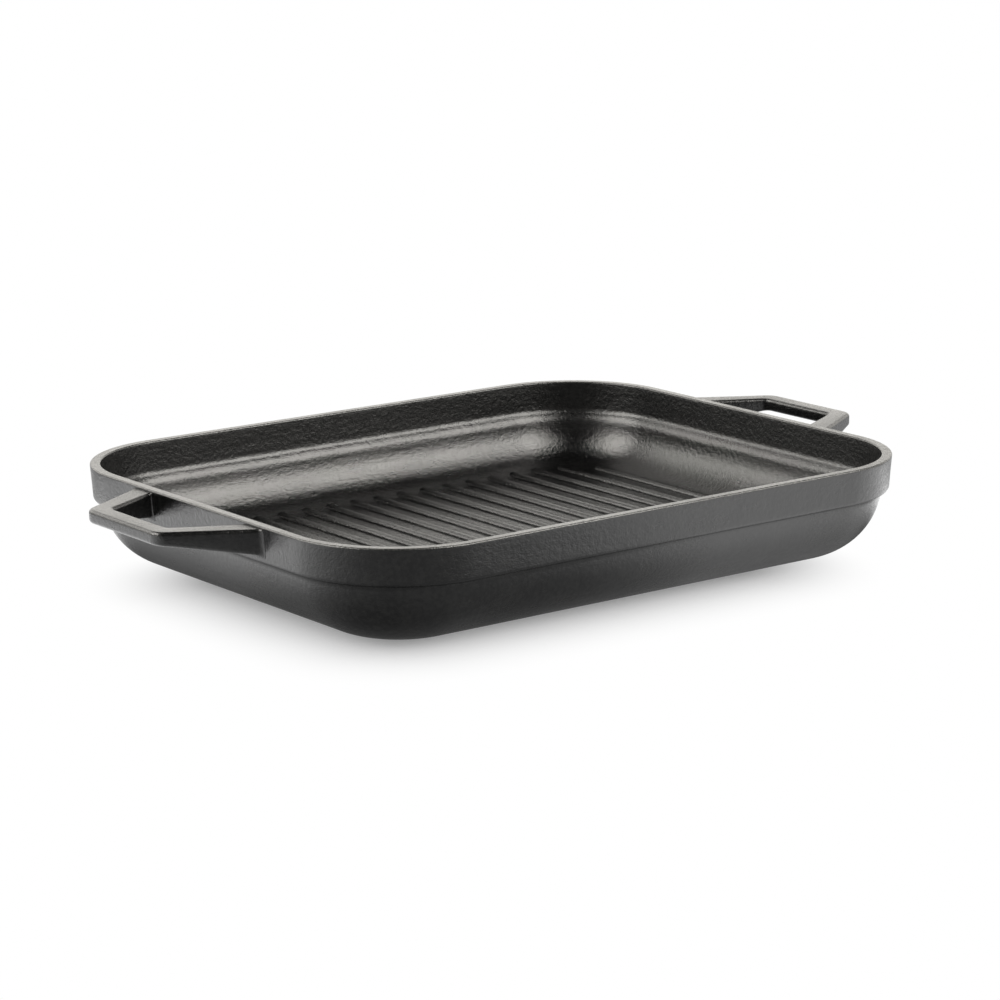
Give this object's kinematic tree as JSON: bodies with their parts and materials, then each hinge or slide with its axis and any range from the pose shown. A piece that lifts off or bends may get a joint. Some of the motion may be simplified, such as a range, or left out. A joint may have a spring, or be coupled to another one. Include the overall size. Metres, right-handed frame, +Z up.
{
  "type": "rectangular grill pan",
  "caption": "Rectangular cast-iron grill pan with rounded corners, a stepped bowl, a ribbed floor and a loop handle at each end, for searing food on a hob or in an oven.",
  "frame": {"origin": "on the ground, under the middle of the pan's flat base", "axes": "+X along the length, through the middle of the right handle; +Y across the width, along the ribs; +Z up, out of the open top"},
  "size_m": [0.408, 0.2638, 0.049],
  "materials": {
    "seasoned_iron": "black, seasoned, satin, with a fine sand-cast grain"
  },
  "bodies": {
    "root": {"pan_body": "seasoned_iron", "left_handle": "seasoned_iron", "right_handle": "seasoned_iron", "grill_rib_01": "seasoned_iron", "grill_rib_02": "seasoned_iron", "grill_rib_03": "seasoned_iron", "grill_rib_04": "seasoned_iron", "grill_rib_05": "seasoned_iron", "grill_rib_06": "seasoned_iron", "grill_rib_07": "seasoned_iron", "grill_rib_08": "seasoned_iron", "grill_rib_09": "seasoned_iron", "grill_rib_10": "seasoned_iron", "grill_rib_11": "seasoned_iron", "grill_rib_12": "seasoned_iron", "grill_rib_13": "seasoned_iron", "grill_rib_14": "seasoned_iron", "grill_rib_15": "seasoned_iron", "grill_rib_16": "seasoned_iron", "grill_rib_17": "seasoned_iron", "grill_rib_18": "seasoned_iron", "grill_rib_19": "seasoned_iron", "grill_rib_20": "seasoned_iron"}
  },
  "joints": []
}
